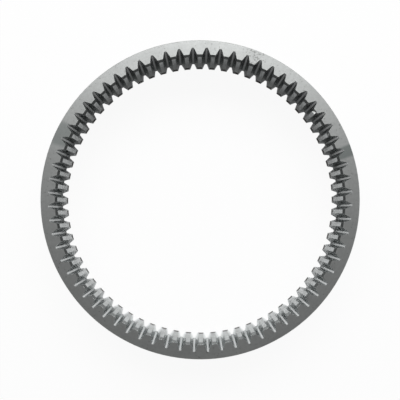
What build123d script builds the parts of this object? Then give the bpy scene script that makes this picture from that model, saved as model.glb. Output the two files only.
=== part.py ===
from build123d import *
from math import acos, cos, degrees, pi, radians, sin, tan
import os

# Internal ring gear for a planetary reduction, in millimetres and degrees.
# The gear axis is Z. The back face lies on Z = 0 and the front face looks up +Z.
# The blank is turned first, with its lead-ins and broken edges, and the straight
# involute tooth spaces are then broached through its full width.

# ---- Toothing ----
tooth_module = 3.0
tooth_count = 68
pressure_angle = 22.5
addendum_factor = 0.8       # stub tooth: how far a tooth stands inside the pitch circle, in modules
dedendum_factor = 1.25      # how far a space is cut outside the pitch circle, in modules
root_fillet_factor = 0.1    # corner radius at the bottom of a space, in modules
backlash = 0.06             # extra width of a space, measured along the pitch circle

# ---- Ring ----
rim_wall = 5.25             # solid metal between the bottom of a space and the outside
ring_width = 36.0           # from the back face to the front face
edge_break = 0.3            # 45 degree chamfer on both outer edges

# ---- Lead-ins turned on the tooth tips ----
front_lead_depth = 1.4      # how far the cone cuts into the tooth height
front_lead_angle = 45.0     # from the gear axis
back_lead_depth = 2.1
back_lead_angle = 10.5      # a long, slow cone that guides the planets in

# ---- Broach that cuts the spaces ----
flank_points = 6            # points that carry the curve of one flank

# ---- Worked out from the sizes above ----
pitch_radius = tooth_module * tooth_count / 2
base_radius = pitch_radius * cos(radians(pressure_angle))
tip_radius = pitch_radius - addendum_factor * tooth_module
root_radius = pitch_radius + dedendum_factor * tooth_module
outer_radius = root_radius + rim_wall
front_lead_length = front_lead_depth / tan(radians(front_lead_angle))
back_lead_length = back_lead_depth / tan(radians(back_lead_angle))
broach_radius = (base_radius + tip_radius) / 2      # the body of the broach clears the tooth tips
broach_overrun = tooth_module                       # how far the broach reaches past both faces
pitch_angle = 360 / tooth_count


def involute(angle):
    """The involute function, of an angle in radians."""
    return tan(angle) - angle


def space_half_angle(radius):
    """Half the angle that one tooth space takes up at this radius, in radians."""
    angle_here = acos(base_radius / radius)
    at_pitch = pi / (2 * tooth_count) + backlash / (2 * pitch_radius)
    return at_pitch + involute(radians(pressure_angle)) - involute(angle_here)


def flank(side):
    """Points along one flank of the space that lies on the X axis, from inside the tips out to the root."""
    step = (root_radius - broach_radius) / (flank_points - 1)
    points = []
    for index in range(flank_points):
        radius = broach_radius + index * step
        angle = side * space_half_angle(radius)
        points.append((radius * cos(angle), radius * sin(angle)))
    return points


def broach_tooth():
    """The edges of one broach tooth, which lies on the X axis and leaves one tooth space behind."""
    left = flank(1)
    right = flank(-1)
    root_curve = ThreePointArc(left[-1], (root_radius, 0), right[-1])
    foot = Line(right[0], left[0])
    outline = make_face(Curve() + [Spline(*left), root_curve, Spline(*right), foot])
    corners = outline.vertices().sort_by(Axis.X)[-2:]
    half_bottom = root_radius * sin(space_half_angle(root_radius))
    outline = fillet(corners, min(root_fillet_factor * tooth_module, half_bottom))
    return outline.edges().sort_by(Axis.X)[1:]


def broach():
    """A full-circle broach. A gear tooth is centred on the X axis, so its own teeth are half a pitch on."""
    half_tooth = degrees(space_half_angle(broach_radius))
    gullet = CenterArc((0, 0), broach_radius, half_tooth, pitch_angle - 2 * half_tooth)
    one_pitch = [*broach_tooth(), gullet]
    edges = []
    for index in range(tooth_count):
        turn = Rot(0, 0, (index + 0.5) * pitch_angle)
        edges += [turn * edge for edge in one_pitch]
    return Pos(0, 0, -broach_overrun) * extrude(Face(Wire(edges)), ring_width + 2 * broach_overrun)


def turned_blank():
    """The plain ring off the lathe: bore at the tooth tips, a cone at each end, broken outer edges."""
    section = Polyline(
        (tip_radius + back_lead_depth, 0),
        (outer_radius - edge_break, 0),
        (outer_radius, edge_break),
        (outer_radius, ring_width - edge_break),
        (outer_radius - edge_break, ring_width),
        (tip_radius + front_lead_depth, ring_width),
        (tip_radius, ring_width - front_lead_length),
        (tip_radius, back_lead_length),
        close=True,
    )
    return revolve(Plane.XZ * make_face(section), Axis.Z)


gear = turned_blank() - broach()
gear.label = "ring_gear"

os.makedirs("parts", exist_ok=True)
export_step(gear, "parts/ring_gear.step")

print("outside diameter", round(2 * outer_radius, 2), "width", ring_width)
print("pitch, tip and root diameters", 2 * pitch_radius, 2 * tip_radius, 2 * root_radius)
print("lead-in lengths, front and back", round(front_lead_length, 2), round(back_lead_length, 2))
print("volume in cm3", round(gear.volume / 1000, 1), "faces", len(gear.faces()))
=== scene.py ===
# %% [markdown]
# # An internal ring gear on a bench
#
# The gear is one ring of steel: turned on a lathe, toothed on the inside, and not painted or plated.
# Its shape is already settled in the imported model, so this lesson is about finish. It takes a clean
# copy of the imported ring, breaks its sharp edges, gives it turned and broached steel surfaces, and
# lights it the way a part on a pale bench beside a window is lit.

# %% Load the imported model
import bpy
from math import cos, degrees, hypot, radians, sin
from mathutils import Matrix, Vector


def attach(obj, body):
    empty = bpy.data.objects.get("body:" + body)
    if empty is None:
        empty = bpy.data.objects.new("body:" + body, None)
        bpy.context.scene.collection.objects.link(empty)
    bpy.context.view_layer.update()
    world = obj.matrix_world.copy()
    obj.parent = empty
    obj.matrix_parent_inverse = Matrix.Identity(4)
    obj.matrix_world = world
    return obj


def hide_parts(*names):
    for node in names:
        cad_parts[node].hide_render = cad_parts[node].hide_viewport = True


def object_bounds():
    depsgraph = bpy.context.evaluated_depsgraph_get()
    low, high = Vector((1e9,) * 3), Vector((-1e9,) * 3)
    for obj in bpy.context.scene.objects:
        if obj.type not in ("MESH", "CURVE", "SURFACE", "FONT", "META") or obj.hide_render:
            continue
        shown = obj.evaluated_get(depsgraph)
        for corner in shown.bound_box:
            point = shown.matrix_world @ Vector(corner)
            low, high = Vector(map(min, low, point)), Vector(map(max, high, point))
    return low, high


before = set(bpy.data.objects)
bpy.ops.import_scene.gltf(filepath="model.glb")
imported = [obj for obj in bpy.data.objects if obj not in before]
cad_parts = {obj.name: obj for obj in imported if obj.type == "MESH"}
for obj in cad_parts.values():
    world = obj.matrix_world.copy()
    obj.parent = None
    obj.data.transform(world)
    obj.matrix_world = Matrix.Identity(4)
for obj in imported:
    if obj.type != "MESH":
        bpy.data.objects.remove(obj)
cad_low, cad_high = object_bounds()
packed_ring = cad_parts["ring_gear"]
bpy.ops.object.select_all(action="DESELECT")

millimetre = 0.001


def in_mm(length):
    """A length in millimetres, rounded for printing."""
    return round(length / millimetre, 2)


ring_width = cad_high[2] - cad_low[2]
outer_radius = (cad_high[0] - cad_low[0]) / 2
print("ring", in_mm(outer_radius), "mm in radius and", in_mm(ring_width), "mm wide")

# %% [markdown]
# ## Where the toothing lies
#
# The finish differs from face to face, and the faces are told apart by how far they lie from the gear
# axis. The radii of the toothing could be typed in again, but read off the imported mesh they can't
# disagree with it. The tips are the points nearest to the axis. The bottoms of the tooth spaces are
# the furthest points that are not on the outside wall.

# %% Read the toothing off the mesh
thinnest_rim = 2 * millimetre
at_the_tips = 0.01 * millimetre

corners = [vertex.co for vertex in packed_ring.data.vertices]
radii = [hypot(corner.x, corner.y) for corner in corners]
tip_radius = min(radii)
root_radius = max(radius for radius in radii if radius < outer_radius - thinnest_rim)
tip_heights = [corner.z for corner, radius in zip(corners, radii) if radius < tip_radius + at_the_tips]
land_back, land_front = min(tip_heights), max(tip_heights)
print("tips", in_mm(tip_radius), "mm and roots", in_mm(root_radius), "mm from the axis")
print("plain tips from", in_mm(land_back), "to", in_mm(land_front), "mm up")

# %% [markdown]
# ## A clean copy of the ring
#
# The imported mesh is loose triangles: no edge in it is shared, so nothing can be bevelled or smoothed
# on it, and it has to stay as it is. So the finish goes on a copy. Points that lie in one place are
# merged, and triangles that lie in one plane are joined into one face, which leaves edges only where
# the real ring has them. An operator acts on whatever is selected, so a step that uses one chooses its
# piece first.

# %% Merge the copy
merge_distance = 0.002 * millimetre
same_plane = radians(0.2)


def choose(piece):
    """Selects one piece alone, for the operators that follow."""
    bpy.ops.object.select_all(action="DESELECT")
    piece.select_set(True)
    bpy.context.view_layer.objects.active = piece


gear = bpy.data.objects.new("finished_ring", packed_ring.data.copy())
bpy.context.scene.collection.objects.link(gear)
gear.data.materials.clear()
choose(gear)
bpy.ops.object.mode_set(mode="EDIT")
bpy.ops.mesh.select_all(action="SELECT")
bpy.ops.mesh.customdata_custom_splitnormals_clear()
bpy.ops.mesh.remove_doubles(threshold=merge_distance)
bpy.ops.mesh.dissolve_limited(angle_limit=same_plane)
bpy.ops.object.mode_set(mode="OBJECT")
print("merged", len(gear.data.vertices), "points,", len(gear.data.polygons), "faces")

# %% [markdown]
# ## Two small knocks
#
# The gear has been handled, and two lead-ins at the front have a small dent with a flat floor. A floor
# that tips towards the window shines white. Points could be pushed in by hand, but a block cuts a flat
# floor with crisp sides in one step. It is placed on its tooth by angle, at the middle of the lead-in,
# and turned so that its underside lies as the floor should.

# %% A block that cuts a dent
floor_normal = Vector((-0.152, 0.281, 0.948)).normalized()
into_lead_in = 0.7 * millimetre
block_height = 2 * millimetre


def cutting_block(angle, depth, length, width):
    """A block on the lead-in at this angle round the axis. Its underside is the floor of the dent."""
    outward = Vector((cos(angle), sin(angle), 0))
    along = floor_normal.cross(outward).normalized()
    across = along.cross(floor_normal)
    floor = outward * (tip_radius + into_lead_in) + Vector((0, 0, land_front + into_lead_in - depth))
    bpy.ops.mesh.primitive_cube_add(size=1)
    block = bpy.context.active_object
    block.rotation_euler = Matrix((along, across, floor_normal)).transposed().to_euler()
    block.scale = (length, width, block_height)
    block.location = floor + floor_normal * (block_height / 2)
    return block


print("the floors lean", round(degrees(floor_normal.angle(Vector((0, 0, 1)))), 1), "degrees")

# %% Dent two lead-ins
# The angle round the axis, then the depth, length and width of each dent.
large_knock = (radians(37.1), 1.0 * millimetre, 2.8 * millimetre, 1.9 * millimetre)
small_knock = (radians(26.3), 0.6 * millimetre, 0.9 * millimetre, 0.8 * millimetre)

for knock in (large_knock, small_knock):
    block = cutting_block(*knock)
    dent = gear.modifiers.new("dent", "BOOLEAN")
    dent.operation = "DIFFERENCE"
    dent.object = block
    choose(gear)
    bpy.ops.object.modifier_apply(modifier=dent.name)
    bpy.data.objects.remove(block)
print("dented", len(gear.data.vertices), "points,", len(gear.data.polygons), "faces")

# %% [markdown]
# ## Broken edges
#
# A gear is deburred after cutting, so no edge is left knife-sharp, and the thin bright line along each
# edge comes from that. A bevel on every sharp edge does the same. It leaves out the shallow edges
# between the strips of a curved flank, which are smoothed over instead. Weighted normals then keep the
# flat faces flat right up to the bevels, where plain smoothing would shade them like a cushion.

# %% Break the edges
deburred_width = 0.07 * millimetre
sharp_from = radians(28)
smooth_up_to = radians(35)

bevel = gear.modifiers.new("deburring", "BEVEL")
bevel.width = deburred_width
bevel.segments = 2
bevel.limit_method = "ANGLE"
bevel.angle_limit = sharp_from
bpy.ops.object.modifier_apply(modifier=bevel.name)
bpy.ops.object.shade_smooth_by_angle(angle=smooth_up_to)
flat = gear.modifiers.new("flat faces stay flat", "WEIGHTED_NORMAL")
flat.mode = "FACE_AREA"
flat.weight = 100
flat.keep_sharp = True
bpy.ops.object.modifier_apply(modifier=flat.name)
print("bevelled", len(gear.data.vertices), "points,", len(gear.data.polygons), "faces")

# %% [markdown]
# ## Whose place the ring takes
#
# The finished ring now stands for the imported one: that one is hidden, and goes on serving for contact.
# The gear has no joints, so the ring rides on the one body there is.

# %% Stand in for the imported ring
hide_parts("ring_gear")
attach(gear, "root")
print(gear.name, "stands for", packed_ring.name)

# %% [markdown]
# ## Short words for long node trees
#
# Bare steel is one metal with a pattern in its colour, its roughness and its fine grooves. Every finish
# below is a tree of small nodes that works those patterns out from a point's place, so the patterns
# stay put on the ring from whatever side it is seen. Each helper adds one node and returns the socket
# that carries its result, so that a finish reads like a sum on paper.

# %% Helpers for numbers
def feed(tree, socket, value):
    """Gives an input either a link or a plain number."""
    if hasattr(value, "is_output"):
        tree.links.new(value, socket)
    else:
        socket.default_value = value


def sum_of(tree, operation, first, second=0.0):
    """One step of arithmetic."""
    step = tree.nodes.new("ShaderNodeMath")
    step.operation = operation
    feed(tree, step.inputs[0], first)
    feed(tree, step.inputs[1], second)
    return step.outputs[0]


def stretch(tree, value, low, high, start=0.0, end=1.0):
    """Turns a value between low and high into one between start and end, with soft ends."""
    scale = tree.nodes.new("ShaderNodeMapRange")
    scale.interpolation_type = "SMOOTHSTEP"
    feed(tree, scale.inputs["Value"], value)
    scale.inputs["From Min"].default_value = low
    scale.inputs["From Max"].default_value = high
    scale.inputs["To Min"].default_value = start
    scale.inputs["To Max"].default_value = end
    return scale.outputs["Result"]


print("number helpers: feed, sum_of, stretch")

# %% [markdown]
# ## Patterns and colours
#
# Nothing on used steel is even, and soft noise gives that unevenness. Noise in three directions makes
# clouds, and noise that changes in one direction only makes the parallel marks of a cutting tool. Most
# of a noise's values lie between 0.3 and 0.7, so whatever should swing with it is spread over that
# range. A second colour is laid over a first one where a pattern is strong, as dirt or oil would be.

# %% Helpers for patterns
noise_low, noise_middle, noise_high = 0.3, 0.5, 0.7


def clouds(tree, place, size, detail=2.0):
    """Soft three-dimensional noise, whose patches are about as wide as size."""
    noise = tree.nodes.new("ShaderNodeTexNoise")
    feed(tree, noise.inputs["Vector"], place)
    noise.inputs["Scale"].default_value = 1 / size
    noise.inputs["Detail"].default_value = detail
    return noise.outputs["Fac"]


def tool_lines(tree, across, width, detail=2.0):
    """Parallel cutting marks of about this width."""
    noise = tree.nodes.new("ShaderNodeTexNoise")
    noise.noise_dimensions = "1D"
    feed(tree, noise.inputs["W"], across)
    noise.inputs["Scale"].default_value = 1 / width
    noise.inputs["Detail"].default_value = detail
    return noise.outputs["Fac"]


def swing(tree, pattern, low, high):
    """A value that swings between low and high with a noise pattern."""
    return stretch(tree, pattern, noise_low, noise_high, low, high)


def blend_colour(tree, amount, first, second):
    """Mixes two colours, each a link or three numbers."""
    mix = tree.nodes.new("ShaderNodeMix")
    mix.data_type = "RGBA"
    feed(tree, mix.inputs["Factor"], amount)
    for socket, colour in ((mix.inputs[6], first), (mix.inputs[7], second)):
        feed(tree, socket, colour if hasattr(colour, "is_output") else (*colour, 1))
    return mix.outputs[2]


def lay_over(tree, below, above, pattern, low, high, share):
    """Lays a colour over another: none of it where the pattern is at low, and share of it at high."""
    return blend_colour(tree, stretch(tree, pattern, low, high, 0.0, share), below, above)


print("pattern helpers: clouds, tool_lines, swing, blend_colour, lay_over")

# %% [markdown]
# ## Where a point lies on the ring
#
# A lathe works round the axis, so its marks follow the radius, the turn round the axis and the height,
# and not X, Y and Z. All of them are worked out from Object coordinates, which stay with the ring when
# it is turned or exported.

# %% Helpers for places
def vector_of(tree, x, y, z):
    """Three numbers or sockets joined into a vector."""
    joined = tree.nodes.new("ShaderNodeCombineXYZ")
    for socket, value in zip(joined.inputs, (x, y, z)):
        feed(tree, socket, value)
    return joined.outputs[0]


def point_on_ring(tree):
    """The point itself, then its X, its Y and its height above the back face."""
    place = tree.nodes.new("ShaderNodeTexCoord").outputs["Object"]
    apart = tree.nodes.new("ShaderNodeSeparateXYZ")
    tree.links.new(place, apart.inputs[0])
    return place, apart.outputs[0], apart.outputs[1], apart.outputs[2]


def radius_of(tree, x, y):
    """How far a point lies from the axis."""
    length = tree.nodes.new("ShaderNodeVectorMath")
    length.operation = "LENGTH"
    tree.links.new(vector_of(tree, x, y, 0.0), length.inputs[0])
    return length.outputs["Value"]


def turn_of(tree, x, y):
    """How far round the axis a point lies, in radians from the X axis."""
    return sum_of(tree, "ARCTAN2", y, x)


def distance_from(tree, place, spot):
    """How far a point lies from a spot."""
    between = tree.nodes.new("ShaderNodeVectorMath")
    between.operation = "DISTANCE"
    tree.links.new(place, between.inputs[0])
    between.inputs[1].default_value = spot
    return between.outputs["Value"]


print("place helpers: vector_of, point_on_ring, radius_of, turn_of, distance_from")

# %% [markdown]
# ## Bare metal and its grooves
#
# All the steel starts as a plain metal, with the numbers that are the same all over it set on the
# shader itself. Grooves too fine to model are pressed in as bump. Grooves finer still only spread the
# light, and always across themselves: turned ones run round the axis, so a highlight is drawn out
# along the radius and the height. The shader is given that direction as its tangent.

# %% Helpers for metal
lean_upwards = 0.6


def start_metal(name, colour, anisotropy):
    """A bare metal material."""
    metal = bpy.data.materials.new(name)
    metal.use_nodes = True
    tree = metal.node_tree
    shader = tree.nodes["Principled BSDF"]
    shader.inputs["Base Color"].default_value = (*colour, 1)
    shader.inputs["Metallic"].default_value = 1.0
    shader.inputs["Anisotropic"].default_value = anisotropy
    return metal, tree, shader


def groove(tree, shader, height, depth):
    """Presses a pattern into the surface as fine grooves, depth metres deep."""
    bump = tree.nodes.new("ShaderNodeBump")
    bump.inputs["Distance"].default_value = depth
    feed(tree, bump.inputs["Height"], height)
    tree.links.new(bump.outputs["Normal"], shader.inputs["Normal"])


def spread_across_turning(tree, shader, x, y):
    """Draws highlights out across round grooves."""
    tree.links.new(vector_of(tree, x, y, lean_upwards * tip_radius), shader.inputs["Tangent"])


print("metal helpers: start_metal, groove, spread_across_turning")

# %% [markdown]
# ## Turned steel
#
# Both flat faces and the outside are turned. One grey all over would look like plastic: what makes it
# steel is that its tone wanders, in broad clouds from handling and in a fine mottle. A faint fan round
# the axis is painted sheen, for the way round grooves catch the light. So the steel's colour is darkened
# a little by each of the three: towards the tone that a trace of oil gives it in the clouds and the
# mottle, and as painted shade in the fan.

# %% Turned steel: tone
steel_colour = (0.412, 0.423, 0.418)
oil_and_shade_colour = (0.285, 0.293, 0.289)
cloud_size = 38 * millimetre
painted_sheen_fan_width = radians(9)
mottle_size = 2.4 * millimetre
# Where in its pattern a layer begins and where it is full, and how much of it shows there.
cloud_layer = (0.35, 0.70, 0.16)
painted_sheen_fan_layer = (0.30, 0.75, 0.12)
mottle_layer = (0.35, 0.65, 0.22)

turned_steel, tree, shader = start_metal("turned_steel", steel_colour, anisotropy=0.1)
place, x, y, height = point_on_ring(tree)
spread_across_turning(tree, shader, x, y)
turn = turn_of(tree, x, y)
tone = clouds(tree, place, cloud_size, detail=3.0)
painted_sheen_fan = tool_lines(tree, turn, painted_sheen_fan_width, detail=1.0)
mottle = clouds(tree, place, mottle_size, detail=3.0)
colour = lay_over(tree, steel_colour, oil_and_shade_colour, tone, *cloud_layer)
# The fan round the axis is painted sheen: lighter and darker wedges laid into the colour.
colour = lay_over(tree, colour, oil_and_shade_colour, painted_sheen_fan, *painted_sheen_fan_layer)
colour = lay_over(tree, colour, oil_and_shade_colour, mottle, *mottle_layer)
print("turned steel,", len(tree.nodes), "nodes for its tone")

# %% [markdown]
# ## Two wedges of painted shade
#
# Two darker wedges cross the front face: painted shade, where the turned face gives back less light in
# two directions from the axis. Each is a band round one direction from the axis, with soft noise added
# to the angle so that its sides are ragged. A band by angle would also run down the outside wall, so it
# fades out just below the face.

# %% Turned steel: wedges of painted shade
wedge_shade_colour = (0.212, 0.232, 0.226)
# The direction, half the width and the strength of each wedge of painted shade.
wide_shade_wedge = (radians(154.8), radians(4.2), 0.65)
narrow_shade_wedge = (radians(17.6), radians(2.2), 0.95)
soft_edge = 0.25
ragged_size, ragged_angle = 9 * millimetre, 0.03
fade_from, fade_to = 0.3 * millimetre, 2.5 * millimetre

waver = sum_of(tree, "SUBTRACT", clouds(tree, place, ragged_size), noise_middle)
waver = sum_of(tree, "MULTIPLY", waver, ragged_angle)
wedge_shade = 0.0
for direction, half_width, strength in (wide_shade_wedge, narrow_shade_wedge):
    aside = sum_of(tree, "ABSOLUTE", sum_of(tree, "SUBTRACT", turn, direction))
    aside = sum_of(tree, "ADD", aside, waver)
    outer_edge, inner_edge = (1 + soft_edge) * half_width, (1 - soft_edge) * half_width
    wedge_shade = sum_of(tree, "ADD", wedge_shade, stretch(tree, aside, outer_edge, inner_edge, 0.0, strength))
on_top = stretch(tree, height, ring_width - fade_to, ring_width - fade_from)
# The wedges are painted shade, laid darker into the colour of the front face.
colour = blend_colour(tree, sum_of(tree, "MULTIPLY", wedge_shade, on_top), colour, wedge_shade_colour)
print("turned steel,", len(tree.nodes), "nodes with its smears")

# %% [markdown]
# ## Specks
#
# Dark specks of dirt lie here and there, and thick in one patch beside the teeth. The lowest points of
# a fine noise are such specks. Near the patch the noise is lowered, so more of it falls under the
# limit and the specks there grow larger and closer.

# %% Turned steel: specks
speck_colour = (0.115, 0.115, 0.11)
speck_size = 1.1 * millimetre
speck_layer = (0.31, 0.25, 0.60)
specked_spot = (38.0 * millimetre, 97.5 * millimetre, ring_width)
patch_edge, patch_core = 12 * millimetre, 3 * millimetre
lowered_by = 0.15

from_patch = distance_from(tree, place, specked_spot)
patch = stretch(tree, from_patch, patch_edge, patch_core, 0.0, lowered_by)
grain = sum_of(tree, "SUBTRACT", clouds(tree, place, speck_size, detail=1.0), patch)
colour = lay_over(tree, colour, speck_colour, grain, *speck_layer)
tree.links.new(colour, shader.inputs["Base Color"])
print("turned steel,", len(tree.nodes), "nodes with its specks")

# %% [markdown]
# ## Round tool marks
#
# The lathe tool leaves grooves a few tenths of a millimetre apart. Real grooves of that size would need
# millions of faces, so they are only drawn. They follow the radius on the faces and the height on the
# outside wall, and the two added together serve both. The same marks press the bump in and sway the
# roughness a little, so that neighbouring grooves don't shine alike.

# %% Turned steel: grooves
groove_width, groove_depth = 0.45 * millimetre, 0.004 * millimetre
groove_roughness = (0.45, 0.51)
cloud_roughness = (-0.03, 0.03)

across = sum_of(tree, "ADD", radius_of(tree, x, y), height)
marks = tool_lines(tree, across, groove_width)
dull = sum_of(tree, "ADD", swing(tree, marks, *groove_roughness), swing(tree, tone, *cloud_roughness))
tree.links.new(dull, shader.inputs["Roughness"])
groove(tree, shader, marks, groove_depth)
print("turned steel,", len(tree.nodes), "nodes in all")

# %% [markdown]
# ## Bored steel
#
# The tooth tips are what is left of the bore, and the short cone in front of them is its lead-in. Their
# marks run round the axis too, but the bore is finer and shinier than the faces, and only towards the
# front does it grow duller. The lead-in is much darker: painted shade that stands in for the dark room
# low down that it mirrors. One material does both, and changes its colour where the cone begins.

# %% Bored steel: colour
bore_colour = (0.605, 0.628, 0.628)
painted_shade_lead_in_colour = (0.20, 0.21, 0.209)
cloud_size = 11 * millimetre
cloud_layer = (0.35, 0.70, 0.35)
cone_line = 0.05 * millimetre

bored_steel, tree, shader = start_metal("bored_steel", bore_colour, anisotropy=0.2)
place, x, y, height = point_on_ring(tree)
spread_across_turning(tree, shader, x, y)
tone = clouds(tree, place, cloud_size)
colour = lay_over(tree, bore_colour, oil_and_shade_colour, tone, *cloud_layer)
lead_in = stretch(tree, height, land_front - cone_line, land_front + cone_line)
# The lead-in's dark colour is painted shade.
colour = blend_colour(tree, lead_in, colour, painted_shade_lead_in_colour)
tree.links.new(colour, shader.inputs["Base Color"])
print("bored steel,", len(tree.nodes), "nodes for its colour")

# %% Bored steel: grooves
groove_width, groove_depth = 0.3 * millimetre, 0.003 * millimetre
groove_roughness = (0.13, 0.18)
cloud_roughness = (-0.02, 0.03)
wear_starts = 0.3 * ring_width
duller_in_front = 0.18
smoother_lead_in = -0.03

across = sum_of(tree, "ADD", radius_of(tree, x, y), height)
marks = tool_lines(tree, across, groove_width)
dull = sum_of(tree, "ADD", swing(tree, marks, *groove_roughness), swing(tree, tone, *cloud_roughness))
front_wear = stretch(tree, height, wear_starts, land_front, 0.0, duller_in_front)
dull = sum_of(tree, "ADD", dull, front_wear)
dull = sum_of(tree, "ADD", dull, sum_of(tree, "MULTIPLY", lead_in, smoother_lead_in))
tree.links.new(dull, shader.inputs["Roughness"])
groove(tree, shader, marks, groove_depth)
print("bored steel,", len(tree.nodes), "nodes in all")

# %% [markdown]
# ## Painted shade on the back cone
#
# The long cone at the back is the side that lies on the bench. Its colour is painted shade: dark, with
# paler blotches, for the gear's own shadow on the bench that the cone mirrors. It is the one finish here
# that is not metallic: a dark metal would still mirror the window, and this painted shade doesn't.

# %% Painted shade on the back cone
painted_shade_cone_colour = (0.05, 0.05, 0.048)
paler_painted_shade_colour = (0.12, 0.115, 0.105)
cone_gloss = 0.25
blotch_size = 5 * millimetre
blotch_layer = (0.40, 0.70, 1.00)
blotch_roughness = (0.4, 0.6)
groove_width, groove_depth = 0.4 * millimetre, 0.004 * millimetre

painted_shade_cone_steel, tree, shader = start_metal("painted_shade_cone_steel", painted_shade_cone_colour, anisotropy=0.0)
shader.inputs["Metallic"].default_value = 0.0
shader.inputs["Specular IOR Level"].default_value = cone_gloss
place, x, y, height = point_on_ring(tree)
blotches = clouds(tree, place, blotch_size, detail=3.0)
# Painted shade: the cone's dark colour, with paler blotches, stands in for the shadow that it mirrors.
colour = lay_over(tree, painted_shade_cone_colour, paler_painted_shade_colour, blotches, *blotch_layer)
tree.links.new(colour, shader.inputs["Base Color"])
tree.links.new(swing(tree, blotches, *blotch_roughness), shader.inputs["Roughness"])
groove(tree, shader, tool_lines(tree, height, groove_width), groove_depth)
print("stained steel,", len(tree.nodes), "nodes in all")

# %% [markdown]
# ## Broached steel
#
# The flanks and the bottoms of the spaces are cut by a tool that slides along the axis, so their marks
# run up and down: noise that is drawn out along the height gives them. The flanks' colour is painted
# light and shade: bright steel at the back, where they mirror the bench straight away, dark halfway up,
# where they mirror only each other, and part of the way back to bright at the front. The bottoms of the
# spaces are plainer, and brighten evenly from the back to the front, as painted shade that is deepest at
# the back of the spaces.

# %% Broached steel: colour
painted_light_flank_colour = (0.935, 0.955, 0.955)
painted_shade_flank_colour = (0.27, 0.28, 0.28)
root_shaded_back_colour = (0.630, 0.643, 0.644)
root_front_colour = (0.870, 0.883, 0.883)
edge_tint = (0.69, 0.70, 0.70, 1)
cloud_size = 8 * millimetre
shade_line_wander = (-2 * millimetre, 2 * millimetre)
shade_starts, shade_full = 0.12 * ring_width, 0.42 * ring_width
front_starts, front_full = 0.55 * ring_width, 0.90 * ring_width
painted_lighter_in_front = 0.75
root_starts, root_full = root_radius - 0.4 * millimetre, root_radius - 0.2 * millimetre
root_brightens_from = 0.1 * ring_width

broached_steel, tree, shader = start_metal("broached_steel", painted_light_flank_colour, anisotropy=0.0)
shader.inputs["Specular Tint"].default_value = edge_tint
place, x, y, height = point_on_ring(tree)
tone = clouds(tree, place, cloud_size)
# Painted light and shade: bright at the back, dark from a wandering line halfway up, and lighter again
# at the front.
shade_line = sum_of(tree, "ADD", height, swing(tree, tone, *shade_line_wander))
shaded_band = stretch(tree, shade_line, shade_starts, shade_full)
front_end = stretch(tree, height, front_starts, front_full, 0.0, painted_lighter_in_front)
colour = blend_colour(tree, sum_of(tree, "SUBTRACT", shaded_band, front_end), painted_light_flank_colour, painted_shade_flank_colour)
# Painted shade: the bottoms of the spaces are darkest at the back and lighten towards the front.
root_rise = stretch(tree, height, root_brightens_from, ring_width)
root_colour = blend_colour(tree, root_rise, root_shaded_back_colour, root_front_colour)
bottom = stretch(tree, radius_of(tree, x, y), root_starts, root_full)
colour = blend_colour(tree, bottom, colour, root_colour)
tree.links.new(colour, shader.inputs["Base Color"])
print("broached steel,", len(tree.nodes), "nodes for its colour")

# %% Broached steel: marks
groove_width, groove_depth = 0.25 * millimetre, 0.001 * millimetre
drawn_out = 0.02
groove_roughness = (0.05, 0.08)
cloud_roughness = (-0.01, 0.02)
wear_starts, wear_full = 0.25 * ring_width, 0.85 * ring_width
duller_in_front = 0.2

along_the_cut = vector_of(tree, x, y, sum_of(tree, "MULTIPLY", height, drawn_out))
marks = clouds(tree, along_the_cut, groove_width)
dull = sum_of(tree, "ADD", swing(tree, marks, *groove_roughness), swing(tree, tone, *cloud_roughness))
front_wear = stretch(tree, height, wear_starts, wear_full, 0.0, duller_in_front)
flank = sum_of(tree, "SUBTRACT", 1.0, bottom)
dull = sum_of(tree, "ADD", dull, sum_of(tree, "MULTIPLY", flank, front_wear))
tree.links.new(dull, shader.inputs["Roughness"])
groove(tree, shader, marks, groove_depth)
print("broached steel,", len(tree.nodes), "nodes in all")

# %% [markdown]
# ## A finish for every face
#
# Each tool left its own kind of face. What lies flat across the axis or looks away from it was turned.
# What looks at the axis close to the tips was bored, and where it is the cone at the back it carries
# painted shade instead. The broach made the rest, and the floors of the dents take its finish too. Faces
# could be picked by hand, but a rule by place and direction also holds for the bevels between them.

# %% Tell the finish of a face
same_direction = 0.9999
looks_along_axis = 0.9
looks_outwards = 0.3
looks_inwards = -0.6
lead_in_reach = 2.5 * millimetre


def finish_of(face):
    """The name of the finish that a face gets."""
    middle, normal = face.center, face.normal
    radius = hypot(middle.x, middle.y)
    outward = (normal.x * middle.x + normal.y * middle.y) / radius
    if normal.dot(floor_normal) > same_direction:
        return "broached"
    if abs(normal.z) > looks_along_axis or outward > looks_outwards:
        return "turned"
    if outward < looks_inwards and radius < tip_radius + lead_in_reach:
        return "painted_shade_cone" if middle.z < land_back else "bored"
    return "broached"


print("the first face was", finish_of(gear.data.polygons[0]))

# %% Give each face its finish
finishes = {
    "turned": turned_steel,
    "bored": bored_steel,
    "painted_shade_cone": painted_shade_cone_steel,
    "broached": broached_steel,
}

for steel in finishes.values():
    gear.data.materials.append(steel)
names = list(finishes)
for face in gear.data.polygons:
    face.material_index = names.index(finish_of(face))
for index, name in enumerate(names):
    print(name, "faces:", sum(face.material_index == index for face in gear.data.polygons))

# %% [markdown]
# ## The bench
#
# The gear lies on a plain white bench top, which is one large matt plane. A white surface could be had
# with more light, but that would bleach the steel too. So most of what the camera sees of the bench is
# the bench's own glow, and the rest is paint that takes light and keeps the gear's soft shadow. Steel
# mirrors the bench mostly as paint, with a little of the glow.

# %% Bench
bench_size = 40.0
bench_gap = 0.05 * millimetre

bpy.ops.mesh.primitive_plane_add(size=bench_size, location=(0, 0, cad_low[2] - bench_gap))
bench = bpy.context.active_object
bench.name = "bench_top"
print("bench", bench_size, "m wide, its top", in_mm(bench_gap), "mm under the gear")

# %% White paint for the bench
bench_colour = (0.88, 0.88, 0.88, 1)
glow_seen = 0.93
glow_mirrored = 0.04

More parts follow.
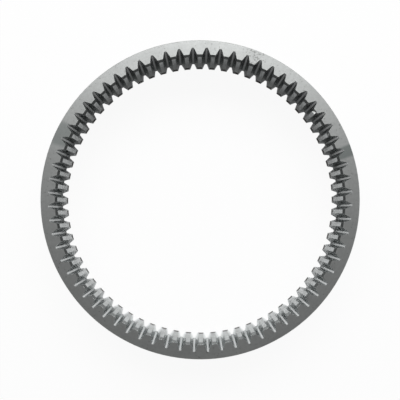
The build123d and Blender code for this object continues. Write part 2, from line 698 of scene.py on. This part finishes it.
paint = bpy.data.materials.new("bench_white")
paint.use_nodes = True
bench.data.materials.append(paint)
tree = paint.node_tree
tree.nodes.clear()
matt = tree.nodes.new("ShaderNodeBsdfDiffuse")
matt.inputs["Color"].default_value = bench_colour
glow = tree.nodes.new("ShaderNodeEmission")
glow.inputs["Strength"].default_value = 1.0
ray = tree.nodes.new("ShaderNodeLightPath")
seen = sum_of(tree, "ADD", ray.outputs["Is Camera Ray"], ray.outputs["Is Transmission Ray"])
mirrored = sum_of(tree, "MULTIPLY", ray.outputs["Is Glossy Ray"], glow_mirrored)
mix = tree.nodes.new("ShaderNodeMixShader")
feed(tree, mix.inputs[0], sum_of(tree, "ADD", sum_of(tree, "MULTIPLY", seen, glow_seen), mirrored))
tree.links.new(matt.outputs[0], mix.inputs[1])
tree.links.new(glow.outputs[0], mix.inputs[2])
out = tree.nodes.new("ShaderNodeOutputMaterial")
tree.links.new(mix.outputs[0], out.inputs["Surface"])
print("bench paint", len(tree.nodes), "nodes")

# %% [markdown]
# ## The window
#
# The light comes from one wide window, above the gear and beyond its far side, and a rectangle of light
# is just that. A small lamp would give hard shadows and pinpoint highlights. A wide one wraps round
# the teeth, and each flank mirrors more or less of it.

# %% Window
window_size = (2.0, 0.9)
window_place = Vector((0.04, 1.03, 1.03))
window_power = 28

window = bpy.data.lights.new("window", "AREA")
window.shape = "RECTANGLE"
window.size, window.size_y = window_size
window.energy = window_power
window_frame = bpy.data.objects.new("window", window)
window_frame.location = window_place
window_frame.rotation_euler = (-window_place).to_track_quat("-Z", "Y").to_euler()
bpy.context.scene.collection.objects.link(window_frame)
print("window", window_size, "m,", round(window_place.length, 2), "m from the gear,", window_power, "W")

# %% [markdown]
# ## The room
#
# Bare metal shows little but what it mirrors, so it needs a room round it. Walls of one dim grey keep
# the shadows soft and the side away from the window dark. Where the camera looks past the bench it
# sees a white backdrop instead, which casts no light on the gear.

# %% Room
wall_grey = 0.198
backdrop_white = 0.95

room = bpy.data.worlds.new("room")
bpy.context.scene.world = room
room.use_nodes = True
tree = room.node_tree
walls = tree.nodes["Background"]
walls.inputs["Color"].default_value = (wall_grey, wall_grey, wall_grey, 1)
backdrop = tree.nodes.new("ShaderNodeBackground")
backdrop.inputs["Color"].default_value = (backdrop_white, backdrop_white, backdrop_white, 1)
ray = tree.nodes.new("ShaderNodeLightPath")
mix = tree.nodes.new("ShaderNodeMixShader")
tree.links.new(ray.outputs["Is Camera Ray"], mix.inputs[0])
tree.links.new(walls.outputs[0], mix.inputs[1])
tree.links.new(backdrop.outputs[0], mix.inputs[2])
tree.links.new(mix.outputs[0], tree.nodes["World Output"].inputs["Surface"])
print("walls", wall_grey, "and backdrop", backdrop_white)

# %% [markdown]
# ## The camera
#
# The camera hangs over the gear, a third of a metre above its front face, so that it looks down the
# tooth spaces all round. It is held almost on the axis and almost straight, but not quite. Those few
# millimetres decide how wide the flanks look on each side, so its place, its aim and its roll are
# given one by one. It is turned by a matrix of its own three directions, which is exact where an
# angle would have to be guessed. A slight shift of the lens stands in for the last bit of framing.

# %% Camera
camera_height = 322.6 * millimetre
camera_place = Vector((-2.10 * millimetre, -10.00 * millimetre, cad_high[2] + camera_height))
aim = Vector((-0.32 * millimetre, -3.60 * millimetre, cad_high[2]))
roll = radians(0.237)
focal_length = 41.815
sensor_width = 36
lens_shift = 0.00978

camera_data = bpy.data.cameras.new("camera")
camera_data.sensor_width = sensor_width
camera_data.lens = focal_length
camera_data.shift_y = lens_shift
camera = bpy.data.objects.new("camera", camera_data)
camera.location = camera_place
forward = (aim - camera_place).normalized()
right = forward.cross(Vector((sin(roll), cos(roll), 0))).normalized()
camera.rotation_euler = Matrix((right, right.cross(forward), -forward)).transposed().to_euler()
bpy.context.scene.collection.objects.link(camera)
bpy.context.scene.camera = camera
bpy.context.scene.view_settings.view_transform = "Standard"
print("camera", in_mm((aim - camera_place).length), "mm from the middle of the front face")
